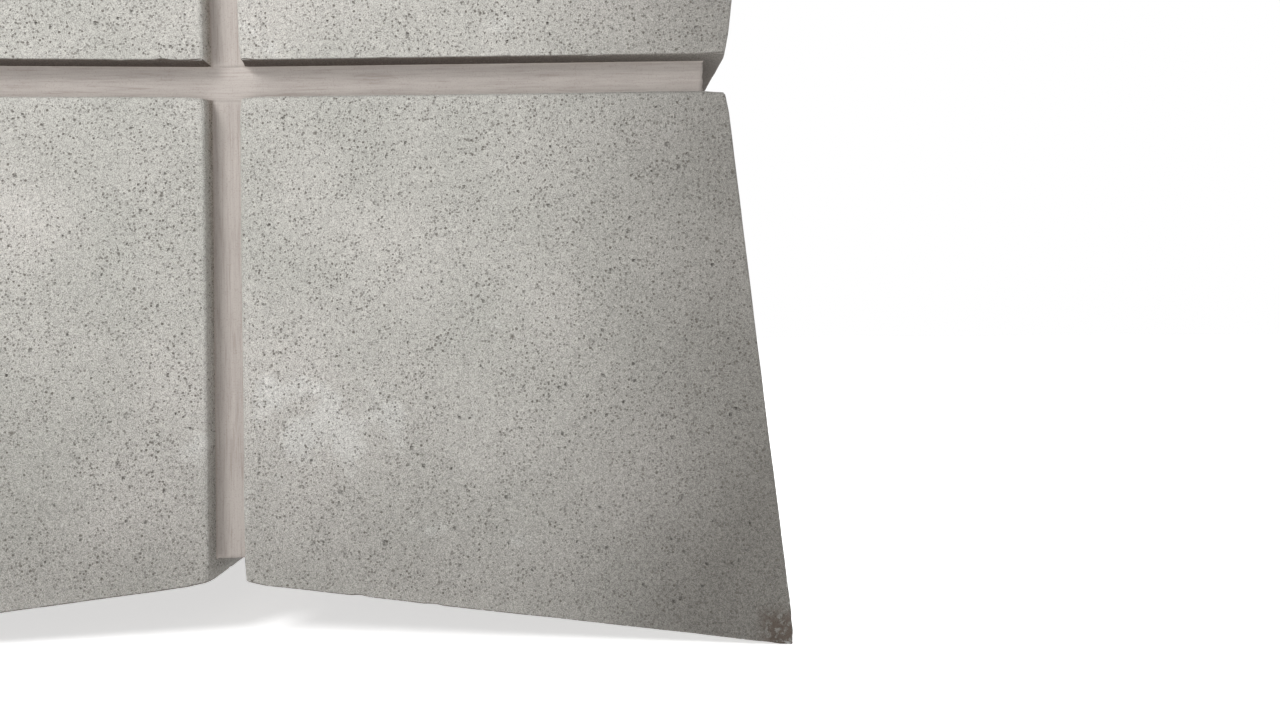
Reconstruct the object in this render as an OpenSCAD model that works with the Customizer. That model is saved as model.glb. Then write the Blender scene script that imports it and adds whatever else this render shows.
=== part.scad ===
// Free-standing concrete vehicle barrier block: eight precast corner blocks with flared tips,
// bedded on mortar joints that are raked back into channels, and tied together by steel dowels.
// +X is the right side, -Y is the front, +Z is up, and the feet stand on z = 0.

/* [Outline] */
// Half the width over the flared corners
corner_half = 600; // [570:1:760]
// Half the width in the middle of an edge, at the end of a channel
edge_half = 540; // [530:1:565]
// Half the width in the middle of a face, where two channels cross
face_half = 521; // [510:1:530]
// Height worn off the lowest point of each lower corner, as a foot
foot_trim = 1.5; // [1:0.5:6]
// Rounding of every arris
arris_r = 4; // [2:0.5:12]

/* [Channels] */
// Width of the channels, which is the width of the joints
channel_w = 36; // [24:1:60]
// Depth of the mortar below the faces
channel_depth = 24; // [10:0.5:32]

/* [Dowels] */
// Diameter of the dowels across the joints
dowel_d = 20; // [10:1:32]
// Length of the dowels
dowel_l = 360; // [200:5:400]

/* [Reinforcement] */
// Diameter of the upright main bars
main_bar_d = 12; // [8:1:16]
// Diameter of the square links
link_bar_d = 8; // [6:1:10]
// Least concrete between a link and the surface of its block
cover = 42; // [30:1:50]
// Inside bend radius of a link
link_bend_r = 20; // [16:1:30]
// Number of links in each block
link_count = 4; // [4:1:5]
// Room left round every cast-in bar
bond_gap = 0.2; // [0.1:0.05:0.5]

/* [Lifting sockets] */
// Distance of each socket from both upright middle planes
socket_at = 280; // [265:1:300]
// Outside diameter of the socket
socket_d = 42; // [38:1:50]
// Diameter of the threaded bore, at the crests of the thread
socket_bore_d = 26; // [20:0.5:30]
// Depth of the threaded bore
socket_bore_l = 105; // [80:1:110]
// Overall length of the socket
socket_l = 150; // [140:1:165]
// Diameter of the recess above the socket
recess_d = 70; // [56:1:90]
// Depth of the recess at its shallowest side
recess_depth = 12; // [8:1:20]
// Diameter of the anchor bar through the foot of the socket
anchor_d = 16; // [12:1:18]
// Least concrete between the anchor bar and the end of a dowel
anchor_clear = 10; // [5:1:25]

/* [Hidden] */

concrete = "#aeaba6";
mortar = "#a69e99";
rusty = "#7d5640";
zinc = "#b4b8bb";
$fn = 48;

wall = channel_w / 2;                      // from a middle plane to the wall of its channel
floor_mid = face_half - channel_depth;     // from the centre to a channel's floor, at a crossing
floor_end = edge_half - channel_depth;     // the same, at the end of a channel
signs = [-1, 1];

// An octant of the block is a cube with its outer corners pulled about. A place in it is
// given as three shares from 0, at a joint, to 1, at an outer face.

// Distance of an outer face from the centre, at two shares across that face
function reach(s, t) = face_half + (edge_half - face_half) * (s + t)
    + (corner_half - 2 * edge_half + face_half) * s * t;

// The point at three shares
function place(q) = [for (i = [0:2]) wall + q[i] * (reach(q[(i + 1) % 3], q[(i + 2) % 3]) - wall)];

// The share at a distance from the centre, measured along a crossing
function share(distance) = (distance - wall) / (face_half - wall);

round_share = arris_r / (face_half - wall);

// Height of the block's centre above the ground. A lower face is lowest where the corner's rounding starts.
centre_z = reach(1 - round_share, 1 - round_share) - foot_trim;

round_steps = 1;                           // facets on each half of an arris
face_steps = 4;                            // facets across a face

// Shares at which the surface has points: the arris, the face, the channel's floor, the arris
ticks = concat(
    [for (k = [0:round_steps - 1]) round_share * (1 - tan(45 * (1 - k / round_steps)))],
    [for (k = [0:face_steps]) round_share + (share(floor_mid) - round_share) * k / face_steps],
    [for (k = [0:round_steps]) 1 - round_share * (1 - tan(45 * k / round_steps))]
);
cells = len(ticks) - 1;

// A point of the sharp cube moved onto the arris. The inner edges stay sharp below the channel's floor.
function rounded(q) =
    let (inner = [for (v = q) min(max(v, round_share), 1 - round_share)],
         out = q - inner)
    max(q) <= share(floor_mid) + 0.0001 ? q : inner + out * round_share / norm(out);

// A point of the cube on the side of an axis, at two shares
function on_side(axis, side, s, t) = [for (i = [0:2]) i == axis ? side : i == (axis + 1) % 3 ? s : t];

// The solid of one corner block, with nothing taken out
module block_form() {
    points = [for (axis = [0:2], side = [0:1], i = [0:cells], j = [0:cells])
        place(rounded(on_side(axis, side, ticks[i], ticks[j])))];
    row = cells + 1;
    faces = [for (axis = [0:2], side = [0:1], i = [0:cells - 1], j = [0:cells - 1], half = [0:1])
        let (at = (axis * 2 + side) * row * row + i * row + j,
             tri = half == 0 ? [at, at + 1, at + row + 1] : [at, at + row + 1, at + row])
        side == 1 ? tri : [tri[2], tri[1], tri[0]]];
    polyhedron(points, faces, convexity = 4);
}

// Puts a piece drawn in the right, back, upper octant into the octant with these signs
module octant(x, y, z) {
    translate([0, 0, centre_z])
        mirror([x < 0 ? 1 : 0, 0, 0])
            mirror([0, y < 0 ? 1 : 0, 0])
                mirror([0, 0, z < 0 ? 1 : 0])
                    children();
}

// Centre lines of the links, from the middle planes. The outer ones keep their cover where the block is least.
link_in = wall + cover + link_bar_d / 2;
link_out = min(face_half, edge_half, corner_half) - cover - link_bar_d / 2;
link_pitch = (link_out - link_in) / (link_count - 1);
link_levels = [for (k = [0:link_count - 1]) link_in + link_pitch * k];

// The dowels pass midway between links, beyond the reach of the dowels along the other axes
dowel_near = link_in + link_pitch * (ceil((link_count - 1) / 2) - 0.5);
dowel_far = link_out - link_pitch / 2;

// Dowels along one axis in one octant, from end to end through both of its blocks
module dowel_pair(axis, gap) {
    turn = [[0, 90, 0], [90, 0, 0], [0, 0, 0]][axis];
    for (at = [[dowel_near, dowel_far], [dowel_far, dowel_near]])
        translate([for (i = [0:2]) i == axis ? 0 : i == (axis + 1) % 3 ? at[0] : at[1]])
            rotate(turn)
                cylinder(h = dowel_l + 2 * gap, d = dowel_d + 2 * gap, center = true);
}

// All eight dowels along one axis
module dowels(axis, gap = 0) {
    for (a = signs, b = signs)
        octant(axis == 0 ? 1 : a, axis == 1 ? 1 : axis == 0 ? a : b, axis == 2 ? 1 : b)
            dowel_pair(axis, gap);
}

// A main bar stands in the bend of a link, this far from the bend's own centre each way
bar_off = (link_bend_r - (link_bar_d + main_bar_d) / 2 - 2 * bond_gap) / sqrt(2);
bar_in = link_in + link_bend_r - bar_off;
bar_out = link_out - link_bend_r + bar_off;

// One square link, flat, with its centre line through link_in and link_out
module link(gap) {
    middle = (link_in + link_out) / 2;
    straight = (link_out - link_in) / 2 - link_bend_r;
    for (turn = [0:90:270])
        translate([middle, middle, 0])
            rotate([0, 0, turn]) {
                translate([straight + link_bend_r, -straight, 0])
                    rotate([-90, 0, 0])
                        cylinder(h = 2 * straight, d = link_bar_d + 2 * gap);
                translate([straight, straight, 0])
                    rotate_extrude(angle = 90)
                        translate([link_bend_r, 0])
                            circle(d = link_bar_d + 2 * gap);
            }
}

// The links of one block
module block_links(gap = 0) {
    for (level = link_levels)
        translate([0, 0, level])
            link(gap);
}

// The four main bars of one block, which end flush with its outer links
module block_bars(gap = 0) {
    for (x = [bar_in, bar_out], y = [bar_in, bar_out])
        translate([x, y, link_in - link_bar_d / 2 - gap])
            cylinder(h = link_out - link_in + link_bar_d + 2 * gap, d = main_bar_d + 2 * gap);
}

// Height of the socket's mouth above the centre: below the lowest side of its recess
recess_share = share(socket_at - recess_d / 2);
socket_top = reach(recess_share, recess_share) - recess_depth;
anchor_z = socket_top - socket_l + anchor_d;
anchor_l = 2 * (socket_at - dowel_l / 2 - anchor_clear);

// The anchor bar of one socket
module anchor_bar(gap = 0) {
    translate([socket_at, socket_at, anchor_z])
        rotate([0, 90, 0])
            cylinder(h = anchor_l + 2 * gap, d = anchor_d + 2 * gap, center = true);
}

// One lifting socket, with its bore and the hole for its anchor bar
module lifting_socket() {
    difference() {
        translate([socket_at, socket_at, socket_top - socket_l])
            cylinder(h = socket_l, d = socket_d);
        translate([socket_at, socket_at, socket_top - socket_bore_l])
            cylinder(h = socket_bore_l + 1, d = socket_bore_d);
        anchor_bar(bond_gap);
    }
}

// What is taken out of an upper block for its socket: the socket, its recess and the bar
module socket_space() {
    translate([socket_at, socket_at, socket_top - socket_l - bond_gap])
        cylinder(h = socket_l + 2 * bond_gap, d = socket_d + 2 * bond_gap);
    translate([socket_at, socket_at, socket_top])
        cylinder(h = corner_half, d = recess_d);
    anchor_bar(bond_gap);
}

// One corner block, with the spaces for its steel
module corner_block(x, y, z) {
    color(concrete)
        difference() {
            octant(x, y, z)
                difference() {
                    block_form();
                    for (axis = [0:2])
                        dowel_pair(axis, bond_gap);
                    block_links(bond_gap);
                    block_bars(bond_gap);
                    if (z > 0) socket_space();
                }
            if (z < 0)
                translate([-corner_half, -corner_half, -2 * foot_trim])
                    cube([2 * corner_half, 2 * corner_half, 2 * foot_trim]);
        }
}

// A whole joint, flat: a square plate with the middle of each side drawn in, as the faces are
module joint_plate() {
    linear_extrude(height = channel_w, center = true)
        polygon([
            [floor_end, floor_end], [0, floor_mid], [-floor_end, floor_end], [-floor_mid, 0],
            [-floor_end, -floor_end], [0, -floor_mid], [floor_end, -floor_end], [floor_mid, 0]
        ]);
}

// The part of the joint across an axis that lies in a box, with the dowels' holes
module joint(axis, low, high) {
    turn = [[90, 0, 90], [90, 0, 0], [0, 0, 0]][axis];
    color(mortar)
        difference() {
            translate([0, 0, centre_z])
                intersection() {
                    rotate(turn)
                        joint_plate();
                    translate(low)
                        cube(high - low);
                }
            dowels(axis, bond_gap);
        }
}

far = corner_half;

module bed_joint() joint(2, [-far, -far, -wall], [far, far, wall]);
module lower_middle_joint() joint(0, [-wall, -far, -far], [wall, far, -wall]);
module lower_left_joint() joint(1, [-far, -wall, -far], [-wall, wall, -wall]);
module lower_right_joint() joint(1, [wall, -wall, -far], [far, wall, -wall]);
module upper_middle_joint() joint(0, [-wall, -far, wall], [wall, far, far]);
module upper_left_joint() joint(1, [-far, -wall, wall], [-wall, wall, far]);
module upper_right_joint() joint(1, [wall, -wall, wall], [far, wall, far]);

module side_dowels() color(rusty) dowels(0);
module depth_dowels() color(rusty) dowels(1);
module upright_dowels() color(rusty) dowels(2);

module links(x, y, z) color(rusty) octant(x, y, z) block_links();
module bars(x, y, z) color(rusty) octant(x, y, z) block_bars();
module socket(x, y) color(zinc) octant(x, y, 1) lifting_socket();

module anchor_bars() {
    color(rusty)
        for (x = signs, y = signs)
            octant(x, y, 1)
                anchor_bar();
}

corner_block(-1, -1, -1);  // block_front_lower_left
corner_block(1, -1, -1);  // block_front_lower_right
corner_block(-1, 1, -1);  // block_back_lower_left
corner_block(1, 1, -1);  // block_back_lower_right
corner_block(-1, -1, 1);  // block_front_upper_left
corner_block(1, -1, 1);  // block_front_upper_right
corner_block(-1, 1, 1);  // block_back_upper_left
corner_block(1, 1, 1);  // block_back_upper_right

bed_joint();
lower_middle_joint();
lower_left_joint();
lower_right_joint();
upper_middle_joint();
upper_left_joint();
upper_right_joint();

side_dowels();
depth_dowels();
upright_dowels();

links(-1, -1, -1);  // links_front_lower_left
links(1, -1, -1);  // links_front_lower_right
links(-1, 1, -1);  // links_back_lower_left
links(1, 1, -1);  // links_back_lower_right
links(-1, -1, 1);  // links_front_upper_left
links(1, -1, 1);  // links_front_upper_right
links(-1, 1, 1);  // links_back_upper_left
links(1, 1, 1);  // links_back_upper_right

bars(-1, -1, -1);  // bars_front_lower_left
bars(1, -1, -1);  // bars_front_lower_right
bars(-1, 1, -1);  // bars_back_lower_left
bars(1, 1, -1);  // bars_back_lower_right
bars(-1, -1, 1);  // bars_front_upper_left
bars(1, -1, 1);  // bars_front_upper_right
bars(-1, 1, 1);  // bars_back_upper_left
bars(1, 1, 1);  // bars_back_upper_right

socket(-1, -1);  // socket_front_left
socket(1, -1);  // socket_front_right
socket(-1, 1);  // socket_back_left
socket(1, 1);  // socket_back_right
anchor_bars();
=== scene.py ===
# Concrete barrier block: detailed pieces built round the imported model.
import bpy
import bmesh
import math
import random
import numpy as np
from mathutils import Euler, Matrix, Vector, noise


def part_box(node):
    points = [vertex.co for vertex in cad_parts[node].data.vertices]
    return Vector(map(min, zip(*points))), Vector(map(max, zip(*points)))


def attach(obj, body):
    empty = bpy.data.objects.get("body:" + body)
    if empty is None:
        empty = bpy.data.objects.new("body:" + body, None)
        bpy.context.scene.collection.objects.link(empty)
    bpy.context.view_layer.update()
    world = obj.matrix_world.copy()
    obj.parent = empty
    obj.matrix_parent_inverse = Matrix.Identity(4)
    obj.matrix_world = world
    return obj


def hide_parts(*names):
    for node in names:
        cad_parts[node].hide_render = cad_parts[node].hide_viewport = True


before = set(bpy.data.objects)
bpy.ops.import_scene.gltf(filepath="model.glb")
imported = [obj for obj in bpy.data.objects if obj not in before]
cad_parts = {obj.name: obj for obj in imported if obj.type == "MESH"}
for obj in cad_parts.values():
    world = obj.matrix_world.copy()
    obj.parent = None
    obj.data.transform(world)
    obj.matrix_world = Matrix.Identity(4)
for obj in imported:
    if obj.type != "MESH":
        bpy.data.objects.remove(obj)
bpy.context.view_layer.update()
scene = bpy.context.scene
print("frame loaded,", len(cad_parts), "nodes")

# Places that every piece is built to, in metres. The joints give the walls and floors of the channels.
bedLow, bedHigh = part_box("bed_joint")
wall = (bedHigh.z - bedLow.z) / 2                # from a middle plane to the channel's wall
centre = Vector((0, 0, (bedHigh.z + bedLow.z) / 2))
floorEnd = bedHigh.x                             # from the centre to a channel's floor, at its end
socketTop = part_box("socket_front_left")[1].z - centre.z

block = {
    "cornerHalf": 0.600,      # half the width over the flared corners
    "edgeHalf": 0.540,        # half the width at a channel's end
    "faceHalf": 0.521,        # half the width where two channels cross
    "arris": 0.004,           # rounding of the arrises
    "cells": 150,             # squares across a face
    "arrisCells": 3,          # squares across a rounded arris
    "rim": 0.030,             # depth of channel wall that is kept fine
    "swell": 0.0006,          # slow unevenness of the faces
    "ripple": 0.0003,         # faster unevenness
    "wobble": 0.0006,         # how far the arrises wander
    "chip": 0.0018,           # depth of the deepest chips on an arris
    "tipWear": 0.0045,        # depth broken off at the corner tips
    "shake": 0.0011,          # how far the pores stray from their rows
    "cornerWear": 0.0030,     # worn off where an arris meets a channel or another arris
    "swellSize": 0.16,
    "rippleSize": 0.035,
    "wobbleSizes": (0.045, 0.012),
    "chipSize": 0.022,
    "chipOdds": 0.42,         # chips only where the noise passes this
    "tipSize": 0.010,
    "tipShare": 0.06,         # share of a block's width that counts as its tip
    "arrisWidth": 0.012,      # worn strip beside an arris
    "cornerWidth": 0.020,     # and beside a corner of a face
    "evenMargin": 0.006,      # beside an arris, where the grid isn't shaken
    "poreMargin": 0.014,      # and where no pore is made
    "footKeep": 0.0001,       # how far the foot reaches below its cut
    "poreCluster": 0.06,
    "squareness": 1.3,        # longest side of a pore's square, in shortest ones
    "wideOdds": 0.03,         # share of the pores that are large
    "pits": 650,              # small open pores
    "pitSteps": 4,            # sizes of them
    "pitRim": 0.0006,         # square left round the widest, and what each smaller size adds
    "pitRimStep": 0.0001,
    "pitWall": 0.0002,
    "pitDepth": 0.0008,
    "pitDepthStep": 0.0003,
    "pores": 12,              # larger ones
    "poreRim": 0.0014,
    "poreWall": 0.0005,
    "poreDepths": (0.001, 0.0025),
}
floorMid = floorEnd - (block["edgeHalf"] - block["faceHalf"])   # the same, where two channels cross


def share(distance):
    # how far along a crossing, from 0 at the channel's wall to 1 at the outer face
    return (distance - wall) / (block["faceHalf"] - wall)


def placeShares(q):
    # shares (n, 3) to metres: a cube with its outer corners pulled about
    face, edge, corner = block["faceHalf"], block["edgeHalf"], block["cornerHalf"]
    out = np.empty_like(q)
    for i in range(3):
        s, t = q[:, (i + 1) % 3], q[:, (i + 2) % 3]
        reach = face + (edge - face) * (s + t) + (corner - 2 * edge + face) * s * t
        out[:, i] = wall + q[:, i] * (reach - wall)
    return out


def roundShares(q, radius):
    # moves the points of a sharp cube onto its arris; inner edges stay sharp under the channel's floor
    inner = np.clip(q, radius, 1 - radius)
    out = q - inner
    length = np.maximum(np.linalg.norm(out, axis=1, keepdims=True), 1e-9)
    soft = inner + out * radius / length
    deep = q.max(axis=1) <= share(floorMid) + 1e-6
    soft[deep] = q[deep]
    return soft


def makeTicks(radius):
    # lines across a face: fine over both arrises, one at the channel's floor, the rest even
    n = block["arrisCells"]
    arc = [radius * (1 - math.tan(math.radians(45 * (1 - k / n)))) for k in range(n)]
    floorLine = share(floorMid)
    between = block["cells"] - 2 * n - 2
    middle = list(np.linspace(radius, floorLine, between + 1))
    upper = [(floorLine + 1 - radius) / 2]
    return np.array(arc + middle + upper + [1 - a for a in [radius] + arc[::-1]])


def meshFrom(bm, name):
    mesh = bpy.data.meshes.new(name)
    bm.to_mesh(mesh)
    bm.free()
    piece = bpy.data.objects.new(name, mesh)
    scene.collection.objects.link(piece)
    return piece


def noiseAt(points, size, offset):
    # Perlin noise, -1 to 1, with features of the given size in metres
    return np.array([noise.noise(Vector(p) / size + offset) for p in points])


def shapeBlock(signs, seed):
    random.seed(seed)
    offset = Vector((seed * 7.3, seed * 3.1, seed * 5.7))
    radius = block["arris"] / (block["faceHalf"] - wall)
    ticks = makeTicks(radius)
    cells = len(ticks) - 1

    bm = bmesh.new()
    zone = bm.verts.layers.float.new("zone")
    bmesh.ops.create_cube(bm, size=1)
    bmesh.ops.subdivide_edges(bm, edges=bm.edges[:], cuts=cells - 1, use_grid_fill=True)
    bmesh.ops.translate(bm, verts=bm.verts[:], vec=(0.5, 0.5, 0.5))
    sharp = np.array([v.co[:] for v in bm.verts])
    index = np.rint(sharp * cells).astype(int)
    shares = ticks[index]
    points = placeShares(roundShares(shares, radius))
    for v, p in zip(bm.verts, points):
        v.co = p
    bm.normal_update()

    # the inner faces are flat and hidden, so each becomes one face
    deepest = share(floorMid - block["rim"])
    keys = {v: i for i, v in enumerate(bm.verts)}
    for axis in range(3):
        inner = [f for f in bm.faces if all(
            index[keys[v]][axis] == 0 and shares[keys[v]].max() <= deepest for v in f.verts)]
        bmesh.ops.dissolve_faces(bm, faces=inner)
    bm.verts.index_update()
    points = np.array([v.co[:] for v in bm.verts])
    shares = np.array([shares[keys[v]] for v in bm.verts])
    normals = np.array([v.normal[:] for v in bm.verts])

    # how near each point is to an outer face, and to an arris
    outer = shares.max(axis=1) > 1 - radius * 0.999
    size = block["faceHalf"] - wall
    ordered = np.sort(np.where(shares > 0.5, 1 - shares, shares), axis=1)
    toArris = ordered[:, 1] * size
    arrisMask = np.clip(1 - toArris / block["arrisWidth"], 0, 1)
    faceMask = np.clip((shares.max(axis=1) - share(floorMid)) / (1 - share(floorMid)), 0, 1)

    slow, fast = block["wobbleSizes"]
    swell = noiseAt(points, block["swellSize"], offset) * block["swell"]
    ripple = noiseAt(points, block["rippleSize"], offset) * block["ripple"]
    wander = noiseAt(points, slow, offset * 2) * 0.6 + noiseAt(points, fast, offset) * 0.4
    wander = wander * block["wobble"]
    bites = np.clip(noiseAt(points, block["chipSize"], offset * 3) - block["chipOdds"], 0, 1)
    chips = bites * block["chip"] * 3
    inward = block["swell"] + block["ripple"] + swell + ripple
    cornerMask = arrisMask * np.clip(1 - ordered[:, 2] * size / block["cornerWidth"], 0, 1)
    inward = inward + arrisMask * (np.clip(wander, 0, 1) + chips) + cornerMask * block["cornerWear"]
    tip = np.clip(1 - (1 - shares.min(axis=1)) / block["tipShare"], 0, 1)
    broken = np.clip(noiseAt(points, block["tipSize"], offset) + 0.25, 0, 1)
    inward = inward + tip * broken * block["tipWear"]
    moved = points - normals * (inward * faceMask)[:, None]
    # the grid is shaken a little in its own plane, so that the pores don't stand in rows
    shake = np.array([[random.uniform(-1, 1) for _ in range(3)] for _ in range(len(points))])
    shake *= block["shake"]
    shake -= normals * (shake * normals).sum(axis=1)[:, None]
    flatArea = outer & (toArris > block["evenMargin"])
    moved[flatArea] += shake[flatArea]
    if signs[2] < 0:
        # the foot is worn at its sides only, so that it still reaches the ground where it is cut flat
        foot = points[:, 2] > centre.z
        moved[foot, 2] = np.maximum(moved[foot, 2], centre.z + block["footKeep"])
    squareArea = outer & (toArris > block["poreMargin"])
    for v, p, a in zip(bm.verts, moved, arrisMask):
        v.co = p
        v[zone] = a

    # pores: single squares sunk in, and groups of four
    def squarish(f):
        lengths = [e.calc_length() for e in f.edges]
        return len(lengths) == 4 and max(lengths) < block["squareness"] * min(lengths)

    ready = [f for f in bm.faces if squarish(f) and all(squareArea[v.index] for v in f.verts)]
    random.shuffle(ready)
    cluster = block["poreCluster"]
    chosen = [f for f in ready
              if noise.noise(f.calc_center_median() / cluster + offset) > random.uniform(-0.9, 0.5)]
    taken = set()
    pits, wide = [], []
    for f in chosen:
        if len(pits) >= block["pits"]:
            break
        near = {n for v in f.verts for n in v.link_faces}
        if near & taken:
            continue
        if len(wide) < block["pores"] and random.random() < block["wideOdds"]:
            group = list(f.verts[0].link_faces)
            if len(group) == 4 and not set(group) & taken:
                wide.append(group)
                taken |= {n for g in group for v in g.verts for n in v.link_faces}
                continue
        pits.append(f)
        taken.add(f)
    steps = block["pitSteps"]
    for k in range(steps):
        part = pits[k::steps]
        depth = block["pitDepth"] + block["pitDepthStep"] * (steps - k)
        bmesh.ops.inset_individual(bm, faces=part, thickness=block["pitRim"] + block["pitRimStep"] * k)
        bmesh.ops.inset_individual(bm, faces=part, thickness=block["pitWall"], depth=-depth)
    for group in wide:
        depth = random.uniform(*block["poreDepths"])
        bmesh.ops.inset_region(bm, faces=group, thickness=block["poreRim"], use_even_offset=True)
        bmesh.ops.inset_region(bm, faces=group, thickness=block["poreWall"], depth=-depth)

    if signs[2] > 0:
        cutRecess(bm)
    bmesh.ops.scale(bm, vec=signs, verts=bm.verts[:])
    bmesh.ops.translate(bm, verts=bm.verts[:], vec=centre)
    if signs[0] * signs[1] * signs[2] < 0:
        bmesh.ops.reverse_faces(bm, faces=bm.faces[:])
    if signs[2] < 0:
        everything = bm.verts[:] + bm.edges[:] + bm.faces[:]
        bmesh.ops.bisect_plane(bm, geom=everything, dist=1e-6, plane_co=(0, 0, 0), plane_no=(0, 0, -1),
                               clear_outer=True)
        rim = [e for e in bm.edges if e.is_boundary]
        bmesh.ops.holes_fill(bm, edges=rim, sides=0)
    return bm


recess = {
    "at": 0.280,              # distance of each socket from the middle planes
    "radius": 0.035,
    "bevel": 0.0012,          # worn edge of the recess, and the fillet at its floor
    "holeRadius": 0.0212,
    "holeDepth": 0.150,       # length of the socket below the recess
}


def cutRecess(bm):
    # opens the top face round the socket and lines the recess and the hole
    axisAt = Vector((recess["at"], recess["at"], 0))

    def away(p):
        return math.hypot(p.x - axisAt.x, p.y - axisAt.y)

    over = [f for f in bm.faces if f.normal.z > 0.5 and f.calc_center_median().z > socketTop
            and all(away(v.co) < recess["radius"] + 0.002 for v in f.verts)]
    bmesh.ops.delete(bm, geom=over, context="FACES")
    rim = [e for e in bm.edges if e.is_boundary]
    for v in {v for e in rim for v in e.verts}:
        way = (v.co - axisAt).xy.normalized() * recess["radius"]
        v.co.x, v.co.y = axisAt.x + way.x, axisAt.y + way.y
    small = recess["bevel"]
    stages = [(recess["radius"] - small, None), (recess["radius"] - small, socketTop + 2 * small),
              (recess["radius"] - 3 * small, socketTop), (recess["holeRadius"], socketTop),
              (recess["holeRadius"], socketTop - recess["holeDepth"])]
    for radiusTo, level in stages:
        made = bmesh.ops.extrude_edge_only(bm, edges=rim)["geom"]
        ring = [v for v in made if isinstance(v, bmesh.types.BMVert)]
        rim = [e for e in made if isinstance(e, bmesh.types.BMEdge)]
        for v in ring:
            way = (v.co - axisAt).xy.normalized() * radiusTo
            v.co = (axisAt.x + way.x, axisAt.y + way.y, v.co.z - small if level is None else level)
    bmesh.ops.holes_fill(bm, edges=rim, sides=0)


def buildBlock(name, signs, seed):
    bm = shapeBlock(signs, seed)
    piece = meshFrom(bm, "concrete_" + name[len("block_"):])
    piece.data.shade_smooth()
    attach(piece, "root")
    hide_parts(name)
    return piece


joint = {
    "fillet": 0.0018,         # fillet to the channel's walls
    "overlap": 0.0003,        # how far the mortar keys into the walls
    "steps": 100,             # points along half a channel
    "levels": 26,             # points across it
    "streak": 0.0005,         # height of the tooling streaks
    "streakLength": 0.16,
    "streakWidth": 0.0032,
    "grit": 0.00025,          # roughness across the streaks
    "fade": 0.008,            # distance from a seam over which the streaks die away
}


def floorAt(along):
    # from the centre to a channel's floor, at a distance along the channel from the crossing
    return floorMid + (floorEnd - floorMid) * min(abs(along) / floorEnd, 1)


def fullRun():
    # places along half a channel, close together beside the crossing
    near = [0, 0.006, 0.012] + [wall - joint["fillet"] * (1 - k / 4) for k in range(5)] + [wall + 0.004]
    return near + list(np.linspace(near[-1], floorEnd, joint["steps"] - len(near)))[1:]


def outlineOf(sideA, sideB):
    # Corners and rim points of a joint, anticlockwise in its plane. A side is 0 for a joint that goes right
    # across, or the sign of the half it fills. Each entry has the place, the way out where it is a rim,
    # the distance along its channel, and whether the joint goes through the crossing there.
    run = fullRun()

    def reachOf(side, end):
        # the places along a direction, for the rim at the plus or minus end of the other one
        if side == 0:
            places = [-p for p in run[:0:-1]] + run
        else:
            places = [side * p for p in run if p >= wall - 1e-9]
            places = sorted(places)
        return places if end > 0 else places[::-1]

    points = []
    for end, axis in ((-1, 1), (1, 0), (1, 1), (-1, 0)):
        side = sideA if axis == 0 else sideB
        other = sideB if axis == 0 else sideA
        rim = side == 0 or side == end
        if not rim:
            if sideA and sideB:
                points.append([(sideA * wall, sideB * wall), (0, 0), 0, False])
            continue
        forwards = (axis == 1 and end < 0) or (axis == 0 and end > 0)
        for along in reachOf(other, 1 if forwards else -1):
            across = end * floorAt(along)
            place = (along, across) if axis == 1 else (across, along)
            points.append([place, (0, end) if axis == 1 else (end, 0), abs(along), other == 0])

    # a corner belongs to both of its sides
    merged = []
    for place, way, along, through in points:
        if merged and (Vector(place) - Vector(merged[-1][0])).length < 1e-5:
            merged[-1][1] = (merged[-1][1][0] + way[0], merged[-1][1][1] + way[1])
        else:
            merged.append([place, way, along, through])
    if (Vector(merged[0][0]) - Vector(merged[-1][0])).length < 1e-5:
        way = merged.pop()[1]
        merged[0][1] = (merged[0][1][0] + way[0], merged[0][1][1] + way[1])
    return merged


def riseAt(along, across, through, place, offset):
    # height of the mortar above the plain floor: fillets beside the walls, and streaks
    gap = math.hypot(max(wall - along, 0), max(wall - abs(across), 0))
    into = max(joint["fillet"] - gap, 0)
    fillet = joint["fillet"] - math.sqrt(max(joint["fillet"] ** 2 - into ** 2, 0))
    lengthwise = Vector((along / joint["streakLength"], across / joint["streakWidth"], 0)) + offset
    fine = noise.noise(place / 0.004 + offset) * joint["grit"]
    seam = math.hypot(max(along - wall, 0), wall - abs(across)) if through else along - wall
    relief = (noise.noise(lengthwise) * joint["streak"] + fine) * min(seam / joint["fade"], 1)
    return fillet + relief - joint["streak"]


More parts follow.
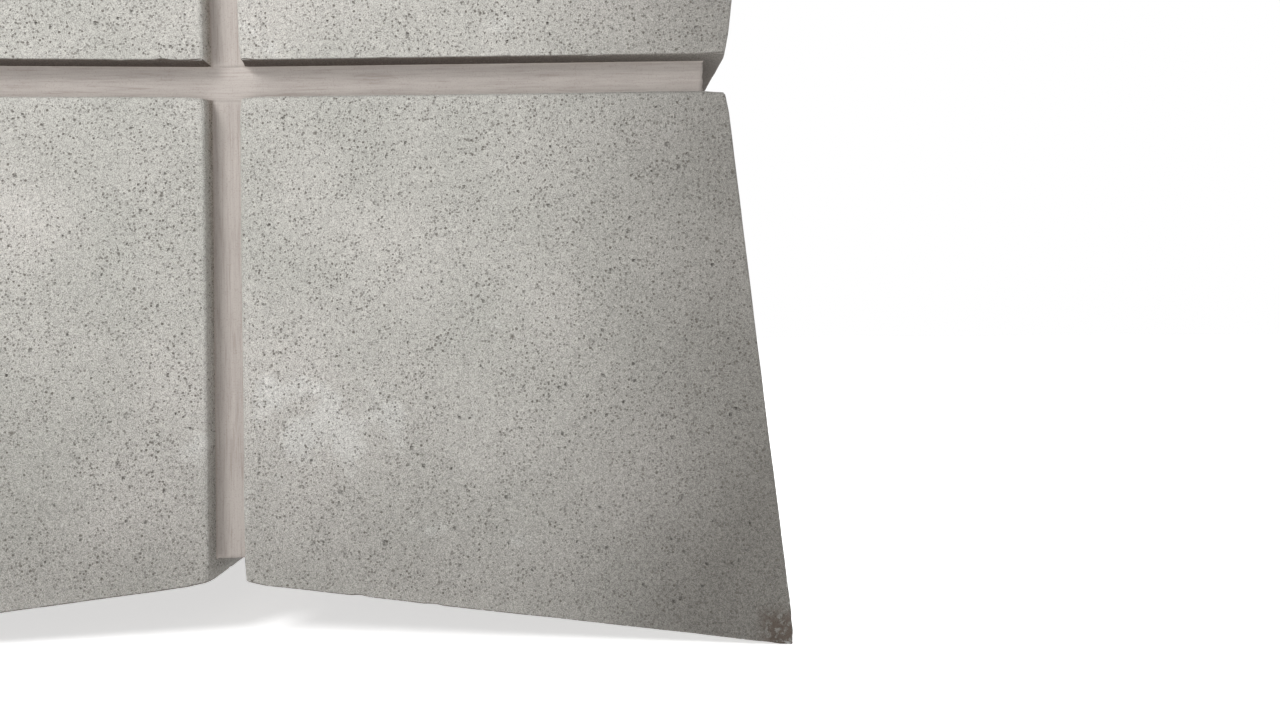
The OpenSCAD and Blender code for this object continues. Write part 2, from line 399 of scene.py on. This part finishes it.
def shapeJoint(axis, sideA, sideB, seed):
    offset = Vector((seed * 4.7, seed * 2.9, seed * 1.3))
    outline = outlineOf(sideA, sideB)
    fillet = joint["fillet"]
    curve = [wall - fillet * (1 - k / 5) for k in range(6)]
    flat = list(np.linspace(-curve[0], curve[0], joint["levels"] - 10))
    levels = [-p for p in curve[:0:-1]] + flat + curve[1:]

    bm = bmesh.new()
    bmesh.ops.create_circle(bm, segments=len(outline), radius=1, cap_ends=True)
    for v, entry in zip(bm.verts, outline):
        v.co = (entry[0][0], entry[0][1], 0)
    bm.normal_update()
    if bm.faces[:][0].normal.z > 0:
        bmesh.ops.reverse_faces(bm, faces=bm.faces[:])
    spots = {(round(entry[0][0], 6), round(entry[0][1], 6)): entry for entry in outline}
    made = bmesh.ops.extrude_face_region(bm, geom=bm.faces[:])["geom"]
    bmesh.ops.translate(bm, verts=[v for v in made if isinstance(v, bmesh.types.BMVert)], vec=(0, 0, 1))
    upright = [e for e in bm.edges if abs(e.verts[0].co.z - e.verts[1].co.z) > 0.5]
    bmesh.ops.subdivide_edges(bm, edges=upright, cuts=len(levels) - 2, use_grid_fill=True)

    for v in bm.verts:
        place, way, along, through = spots[(round(v.co.x, 6), round(v.co.y, 6))]
        across = levels[round(v.co.z * (len(levels) - 1))]
        there = Vector((place[0], place[1], across))
        up = riseAt(along, across, through, there, offset) if way != (0, 0) else 0
        spread = across * (1 + joint["overlap"] / wall)
        v.co = (place[0] + way[0] * up, place[1] + way[1] * up, spread)
    quarter = math.pi / 2
    turn = {0: Euler((quarter, 0, quarter)), 1: Euler((quarter, 0, 0)), 2: Euler((0, 0, 0))}[axis]
    bmesh.ops.rotate(bm, verts=bm.verts[:], cent=(0, 0, 0), matrix=turn.to_matrix())
    bmesh.ops.translate(bm, verts=bm.verts[:], vec=centre)
    bmesh.ops.recalc_face_normals(bm, faces=bm.faces[:])
    return bm


def buildJoint(name, axis, sideA, sideB, seed):
    bm = shapeJoint(axis, sideA, sideB, seed)
    piece = meshFrom(bm, "mortar_" + name[:-len("_joint")])
    piece.data.shade_smooth()
    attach(piece, "root")
    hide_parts(name)
    return piece


class Signal:
    # a socket that takes part in plain arithmetic
    def __init__(self, graph, socket):
        self.graph = graph
        self.socket = socket

    def math(self, operation, other=0.0):
        return self.graph.node("ShaderNodeMath", {"operation": operation}, {0: self, 1: other})

    def __add__(self, other):
        return self.math("ADD", other)

    __radd__ = __add__

    def __sub__(self, other):
        return self.math("SUBTRACT", other)

    def __rsub__(self, other):
        return self.graph.node("ShaderNodeMath", {"operation": "SUBTRACT"}, {0: other, 1: self})

    def __mul__(self, other):
        return self.math("MULTIPLY", other)

    __rmul__ = __mul__

    def absolute(self):
        return self.math("ABSOLUTE")

    def larger(self, other):
        return self.math("MAXIMUM", other)

    def smaller(self, other):
        return self.math("MINIMUM", other)

    def between(self, start, end, low=0.0, high=1.0):
        # a smooth step from low to high as the value goes from start to end
        return self.graph.node("ShaderNodeMapRange", {"interpolation_type": "SMOOTHSTEP"},
                               {0: self, 1: start, 2: end, 3: low, 4: high})


class Graph:
    # the node tree of one new material, or of the world
    def __init__(self, name=None, tree=None):
        if tree is None:
            self.material = bpy.data.materials.new(name)
            self.material.use_nodes = True
            tree = self.material.node_tree
        self.tree = tree
        self.tree.nodes.clear()

    def node(self, kind, settings=None, inputs=None, out=0):
        made = self.tree.nodes.new(kind)
        for key, value in (settings or {}).items():
            setattr(made, key, value)
        for key, value in (inputs or {}).items():
            socket = made.inputs[key]
            if isinstance(value, Signal):
                self.tree.links.new(value.socket, socket)
            else:
                socket.default_value = value
        return Signal(self, made.outputs[out]) if len(made.outputs) else made

    def noise(self, where, size, detail=2.0, roughness=0.5, stretch=None):
        # fractal noise whose features are about this size in metres
        if stretch:
            where = self.node("ShaderNodeMapping", {}, {"Vector": where, "Scale": stretch})
        return self.node("ShaderNodeTexNoise", {}, {
            "Vector": where, "Scale": 1 / size, "Detail": detail, "Roughness": roughness})

    def cells(self, where, size, jitter=1.0):
        # distance to the nearest of points scattered this far apart, in metres
        return self.node("ShaderNodeTexVoronoi", {}, {
            "Vector": where, "Scale": 1 / size, "Randomness": jitter}, "Distance")

    def mix(self, share, first, second, kind="MIX"):
        # two colours
        return self.node("ShaderNodeMix", {"data_type": "RGBA", "blend_type": kind},
                         {0: share, 6: first, 7: second}, 2)

    def surface(self, colour, roughness, normal, settings):
        inputs = {"Base Color": colour, "Roughness": roughness, "Normal": normal}
        shader = self.node("ShaderNodeBsdfPrincipled", {}, {**inputs, **settings})
        self.node("ShaderNodeOutputMaterial", {}, {"Surface": shader})
        return self.material


concrete = {
    "dark": (0.355, 0.350, 0.322, 1),      # damp, dense patches
    "pale": (0.450, 0.432, 0.405, 1),      # dry patches
    "highlightAndChip": (0.620, 0.620, 0.600, 1),     # pale spots of painted highlight, and the small pale chips
    "poreShade": (0.115, 0.104, 0.090, 1),      # painted shade inside the pinholes and pores
    "dustAndShade": (0.280, 0.215, 0.170, 1),      # brown dust with painted shade, deep down the channels' walls
    "downShade": (0.050, 0.036, 0.029, 1),      # painted shade on faces that look down
    "grimeAndShade": (0.162, 0.154, 0.140, 1),     # darker towards the ground and the upright arrises: dirt and painted shade
    "broken": (0.070, 0.050, 0.038, 1),    # where the tips are broken off
    "grain": 0.0011,                       # size of the fine grain
    "peel": 0.0042,                        # size of the orange-peel bubbles
    "pinhole": 0.0056,                     # spacing of the pinholes
    "fineHole": 0.0038,                    # spacing of the finest pores
    "pinholeRadius": 0.24,                 # of the widest, as a share of the spacing
    "poreSpacing": 0.026,                  # spacing of the large painted pores
    "blotchSize": 0.32,
    "cloudSize": 0.085,
    "highlightSizes": (0.050, 0.24),
    "highlightAmount": 0.35,
    "poreShadeAmount": 0.85,
    "dustAndShadeAmount": 0.55,
    "downShadeAmount": 0.92,
    "edgeDirtAndShade": 0.78,                      # darker towards the upright arrises: dirt and painted shade of the light's falloff
    "lowDirtAndShade": 0.46,                       # and towards the ground
    "brokenAmount": 0.80,
    "crumbAmount": 0.55,
    "bump": 0.75,
    "bumpDepth": 0.0009,
    "roughness": 0.62,
}


def concreteMaterial():
    g = Graph("castConcrete")
    where = g.node("ShaderNodeTexCoord", {}, {}, "Object")
    place = g.node("ShaderNodeMapping", {}, {"Vector": where, "Location": (0, 0, -centre.z)})
    zone = g.node("ShaderNodeAttribute", {"attribute_name": "zone"}, {}, "Fac")
    faceWay = g.node("ShaderNodeNewGeometry", {}, {}, "Normal")
    upward = g.node("ShaderNodeSeparateXYZ", {}, {0: faceWay}, 2)
    x, y, z = (g.node("ShaderNodeSeparateXYZ", {}, {0: place}, k) for k in range(3))
    flat = 1 - zone

    # how far out towards the faces
    absX, absY, absZ = (a.absolute() for a in (x, y, z))
    outXY = absX.larger(absY)
    inXY = absX.smaller(absY)
    out = outXY.larger(absZ)

    blotch = g.noise(place, concrete["blotchSize"], 2, 0.5)
    cloud = g.noise(place, concrete["cloudSize"], 3, 0.5)
    grain = g.noise(place, concrete["grain"], 2, 0.65)
    coarse = g.noise(place, concrete["grain"] * 3.2, 2, 0.5)

    tone = blotch * 0.75 + cloud * 0.35 - 0.05
    colour = g.mix(tone.between(0.25, 0.75), concrete["dark"], concrete["pale"])
    small, large = concrete["highlightSizes"]
    # pale spots of painted highlight scattered over the faces
    highlightMask = (g.noise(place, small, 3, 0.5) * g.noise(place, large, 1, 0.5)).between(0.36, 0.46)
    colour = g.mix(highlightMask * concrete["highlightAmount"], colour, concrete["highlightAndChip"])

    # pinholes, more of them in clusters and near the outer edges
    cluster = g.noise(place, 0.060, 2, 0.5).between(0.38, 0.66)
    rimward = inXY.between(0.25, 0.56)
    beside = inXY.smaller(absZ).between(0.14, 0.03)
    crowd = (cluster * 0.60 + rimward * 0.30 + beside * 0.25 + 0.22) * flat

    def holes(spacing, widest, often):
        cell = {"Vector": place, "Scale": 1 / spacing}
        distance = g.node("ShaderNodeTexVoronoi", {}, cell, "Distance")
        chance = g.node("ShaderNodeTexVoronoi", {}, cell, "Color")
        draw = g.node("ShaderNodeSeparateColor", {}, {0: chance}, 0)
        size = g.node("ShaderNodeSeparateColor", {}, {0: chance}, 1)
        present = (draw + crowd * often).between(0.96, 1.0)
        return present * (size * widest * 0.6 + widest * 0.4 - distance).between(-0.05, 0.04)

    fine = holes(concrete["fineHole"], 0.32, 1.9) * 0.7
    pin = fine.larger(holes(concrete["pinhole"], concrete["pinholeRadius"], 0.75))
    pin = pin.larger(holes(concrete["poreSpacing"], 0.075, 0.45))

    # brown dust and painted shade down the channels' walls, painted shade on faces that look down, and
    # darkening low and towards the outer corners, partly dirt and partly painted shade
    deep = out.between(floorMid + 0.004, floorMid + 0.022, 1.0, 0.0)
    dustShadeNoise = g.noise(place, 0.03, 3, 0.6).between(0.25, 0.75, 0.5, 1.0)
    colour = g.mix(deep * dustShadeNoise * concrete["dustAndShadeAmount"], colour, concrete["dustAndShade"])
    # faces that look down are darkened with painted shade
    ledge = upward.between(-0.25, -0.75)
    colour = g.mix(ledge * concrete["downShadeAmount"], colour, concrete["downShade"])
    # darker low down and towards the upright arrises: partly dirt, partly painted shade of the light's
    # falloff
    low = (z * -1.0).between(0.20, 0.66)
    edge = inXY.between(0.27, 0.60)
    dirtShadeNoise = g.noise(place, 0.12, 2, 0.5).between(0.25, 0.75, 0.90, 1.06)
    dirtAndShade = (edge * concrete["edgeDirtAndShade"] + low * concrete["lowDirtAndShade"]) * dirtShadeNoise
    colour = g.mix(dirtAndShade, colour, concrete["grimeAndShade"])
    # fine speckle, lighter and darker
    speckle = (grain * 0.80 + coarse * 0.20).between(0.34, 0.66, 0.62, 1.31)
    gray = g.node("ShaderNodeCombineColor", {}, {0: speckle, 1: speckle, 2: speckle})
    colour = g.mix(1.0, colour, gray, "MULTIPLY")
    # the pinholes and pores darkened with painted shade
    colour = g.mix(pin * concrete["poreShadeAmount"], colour, concrete["poreShade"])

    # broken tips, and small pale chips along the lower arrises
    tip = inXY.smaller(absZ).between(0.552, 0.578)
    tipNoise = g.noise(place, 0.007, 3, 0.6).between(0.40, 0.52)
    colour = g.mix(tip * tipNoise * concrete["brokenAmount"], colour, concrete["broken"])
    crumb = (zone * g.noise(place, 0.0045, 2, 0.6)).between(0.50, 0.60) * low
    colour = g.mix(crumb * concrete["crumbAmount"], colour, concrete["highlightAndChip"])

    # bumps: grain, orange peel in patches, pinholes
    peel = g.cells(place, concrete["peel"], 0.9)
    peelMask = (g.noise(place, 0.11, 2, 0.5).between(0.38, 0.66) + low * 0.9) * flat
    height = grain * 0.42 * (flat * 0.75 + 0.25) + coarse * 0.35 - pin * 1.5 + peel * (peelMask * 1.1 + 0.15)
    bump = g.node("ShaderNodeBump", {}, {
        "Strength": concrete["bump"], "Distance": concrete["bumpDepth"], "Height": height})

    smoothPatch = g.noise(place, 0.13, 2, 0.5).between(0.35, 0.65, -0.10, 0.10)
    roughness = concrete["roughness"] + smoothPatch - zone * 0.12 + pin * 0.2 + ledge * 0.4 + deep * 0.2
    return g.surface(colour, roughness, bump, {"Specular IOR Level": 0.18})


mortar = {
    "base": (0.385, 0.345, 0.320, 1),
    "pale": (0.450, 0.410, 0.380, 1),
    "dark": (0.250, 0.205, 0.175, 1),
    "streakWidth": 0.0022,
    "streakStretch": 0.02,    # how much slower the streaks change along the channel
    "gritSize": 0.0014,
    "cloudSize": 0.05,
    "streakDark": 0.34,
    "gritDark": 0.40,
    "rimWidth": 0.003,        # strip of painted shade beside the channel's walls
    "wallFootShade": 0.35,
    "bump": 0.38,
    "bumpDepth": 0.0010,
    "roughness": 0.72,
}


def mortarMaterial():
    g = Graph("tooledMortar")
    where = g.node("ShaderNodeTexCoord", {}, {}, "Object")
    place = g.node("ShaderNodeMapping", {}, {"Vector": where, "Location": (0, 0, -centre.z)})
    axes = [g.node("ShaderNodeSeparateXYZ", {}, {0: place}, k) for k in range(3)]
    absolute = [a.absolute() for a in axes]

    # streaks run along whichever channel the point is in
    long = mortar["streakStretch"]
    runs = [g.noise(place, mortar["streakWidth"], 3, 0.65, stretch) for stretch in (
        (long, 1.0, 1.0), (1.0, long, 1.0), (1.0, 1.0, long))]
    inBed = absolute[2].between(wall - 0.004, wall + 0.006, 1.0, 0.0)
    alongX = absolute[1].between(floorMid - 0.01, floorMid - 0.002)
    level = runs[0] * alongX + runs[1] * (1 - alongX)
    streak = runs[2] + (level - runs[2]) * inBed
    grit = g.noise(place, mortar["gritSize"], 2, 0.6)
    cloud = g.noise(place, mortar["cloudSize"], 4, 0.6)

    colour = g.mix((streak * 0.7 + cloud * 0.3).between(0.36, 0.64), mortar["base"], mortar["pale"])
    colour = g.mix(streak.between(0.44, 0.30) * mortar["streakDark"], colour, mortar["dark"])
    colour = g.mix(grit.between(0.52, 0.72) * mortar["gritDark"], colour, mortar["dark"])
    # painted shade along the foot of the walls, but not across the open crossings
    third = absolute[0].smaller(absolute[1])
    between = absolute[2].between(wall, wall + 0.001, 1.0, 0.0)
    across = third + (absolute[2] - third) * between
    walled = (1 - between).larger(third.between(wall - 0.004, wall))
    rim = across.between(wall - mortar["rimWidth"], wall) * walled
    colour = g.mix(rim * mortar["wallFootShade"], colour, mortar["dark"])
    height = streak * 0.75 + grit * 0.35
    bump = g.node("ShaderNodeBump", {}, {
        "Strength": mortar["bump"], "Distance": mortar["bumpDepth"], "Height": height})
    roughness = mortar["roughness"] + streak * 0.12 - 0.06
    return g.surface(colour, roughness, bump, {"Specular IOR Level": 0.35})


steel = {
    "rustDark": (0.060, 0.028, 0.016, 1),
    "rust": (0.200, 0.085, 0.036, 1),
    "zinc": (0.520, 0.530, 0.540, 1),
    "zincDark": (0.330, 0.340, 0.350, 1),
    "pitch": 0.0035,          # of the sockets' thread
    "spangle": 0.006,         # size of the zinc's crystals
}


def rustMaterial():
    g = Graph("rustyBar")
    where = g.node("ShaderNodeTexCoord", {}, {}, "Object")
    patch = g.noise(where, 0.012, 4, 0.6)
    flake = g.noise(where, 0.0016, 3, 0.6)
    colour = g.mix((patch * 0.7 + flake * 0.3).between(0.35, 0.65), steel["rustDark"], steel["rust"])
    bump = g.node("ShaderNodeBump", {}, {"Strength": 0.5, "Distance": 0.0006, "Height": flake + patch * 0.5})
    roughness = patch.between(0.3, 0.7, 0.62, 0.88)
    return g.surface(colour, roughness, bump, {"Metallic": 0.35})


def zincMaterial():
    g = Graph("dullZinc")
    where = g.node("ShaderNodeTexCoord", {}, {}, "Object")
    spangle = g.cells(where, steel["spangle"])
    smear = g.noise(where, 0.020, 3, 0.6)
    colour = g.mix((spangle * 0.5 + smear * 0.5).between(0.25, 0.70), steel["zincDark"], steel["zinc"])
    # the thread shows as rings down the bore
    down = g.node("ShaderNodeSeparateXYZ", {}, {0: where}, 2)
    ring = down.math("PINGPONG", steel["pitch"] / 2) * (2 / steel["pitch"])
    bump = g.node("ShaderNodeBump", {}, {"Strength": 0.6, "Distance": 0.0010, "Height": ring + smear * 0.2})
    roughness = smear.between(0.3, 0.7, 0.34, 0.52)
    return g.surface(colour, roughness, bump, {"Metallic": 0.9})


def dress(piece, material):
    piece.data.materials.clear()
    piece.data.materials.append(material)


finishes = {
    "concrete": concreteMaterial(), "mortar": mortarMaterial(),
    "rust": rustMaterial(), "zinc": zincMaterial()}
print("materials made")

seed = 3
for level, z in (("lower", -1), ("upper", 1)):
    for depth, y in (("front", -1), ("back", 1)):
        for hand, x in (("left", -1), ("right", 1)):
            seed += 4
            piece = buildBlock("block_" + depth + "_" + level + "_" + hand, (x, y, z), seed)
            dress(piece, finishes["concrete"])
print("eight concrete blocks built")

for name, axis, sideA, sideB in (
        ("bed_joint", 2, 0, 0),
        ("lower_middle_joint", 0, 0, -1), ("lower_left_joint", 1, -1, -1), ("lower_right_joint", 1, 1, -1),
        ("upper_middle_joint", 0, 0, 1), ("upper_left_joint", 1, -1, 1), ("upper_right_joint", 1, 1, 1)):
    seed += 3
    dress(buildJoint(name, axis, sideA, sideB, seed), finishes["mortar"])
print("seven mortar joints built")

for name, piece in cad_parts.items():
    if name.startswith("socket"):
        dress(piece, finishes["zinc"])
    elif "dowels" in name or name.startswith(("bars", "links", "anchor")):
        dress(piece, finishes["rust"])
print("steel dressed")


view = {
    "lens": 29.5,
    "place": (0.4115, -1.661, 0.3254),
    "turn": (88.316, 0.634, -1.655),
}


def makeCamera():
    data = bpy.data.cameras.new("camera")
    data.sensor_width = 36
    data.lens = view["lens"]
    data.clip_start = 0.05
    camera = bpy.data.objects.new("camera", data)
    scene.collection.objects.link(camera)
    camera.location = view["place"]
    camera.rotation_euler = [math.radians(a) for a in view["turn"]]
    scene.camera = camera


studio = {
    "keyPlace": (-0.85, -1.95, 1.75),
    "keyAim": (0.05, -0.55, 0.50),
    "keySize": 1.0,
    "keyPower": 33,
    "backPlace": (2.0, 2.4, 3.2),
    "backAim": (0.8, 0.6, 0.0),
    "backSize": 2.5,
    "backPower": 120,
    "ambientFront": 0.24,     # world brightness on the front side
    "ambientBack": 1.00,      # and behind
    "floorGlow": 0.60,
    "floor": (0.88, 0.88, 0.88, 1),
    "floorRadius": 30,
    "floorDrop": 0.0005,      # keeps the floor clear of the feet
}


def addLight(name, place, aim, size, power):
    data = bpy.data.lights.new(name, "AREA")
    data.shape = "DISK"
    data.size = size
    data.energy = power
    light = bpy.data.objects.new(name, data)
    scene.collection.objects.link(light)
    light.location = place
    light.visible_camera = False
    light.rotation_euler = (Vector(aim) - Vector(place)).to_track_quat("-Z", "Y").to_euler()


def makeStudio():
    addLight("keyLight", studio["keyPlace"], studio["keyAim"], studio["keySize"], studio["keyPower"])
    addLight("backLight", studio["backPlace"], studio["backAim"], studio["backSize"], studio["backPower"])

    bm = bmesh.new()
    bmesh.ops.create_circle(bm, segments=96, radius=studio["floorRadius"], cap_ends=True)
    bmesh.ops.translate(bm, verts=bm.verts[:], vec=(0, 0, -studio["floorDrop"]))
    floor = meshFrom(bm, "studioFloor")
    g = Graph("paleFloor")
    g.node("ShaderNodeOutputMaterial", {}, {"Surface": g.node("ShaderNodeBsdfPrincipled", {}, {
        "Base Color": studio["floor"], "Roughness": 0.9, "Emission Color": (1, 1, 1, 1),
        "Emission Strength": studio["floorGlow"]})})
    dress(floor, g.material)

    world = bpy.data.worlds.new("studioWorld")
    scene.world = world
    world.use_nodes = True
    g = Graph(tree=world.node_tree)
    way = g.node("ShaderNodeTexCoord", {}, {}, "Generated")
    back = g.node("ShaderNodeSeparateXYZ", {}, {0: way}, 1).between(-0.4, 0.35)
    horizon = g.node("ShaderNodeSeparateXYZ", {}, {0: way}, 2).between(0.16, 0.08)
    bright = back.larger(horizon)
    strength = bright * (studio["ambientBack"] - studio["ambientFront"]) + studio["ambientFront"]
    shine = g.node("ShaderNodeBackground", {}, {"Color": (1, 1, 1, 1), "Strength": strength})
    g.node("ShaderNodeOutputWorld", {}, {"Surface": shine})
    scene.view_settings.view_transform = "Standard"


makeCamera()
makeStudio()
print("camera and studio made")
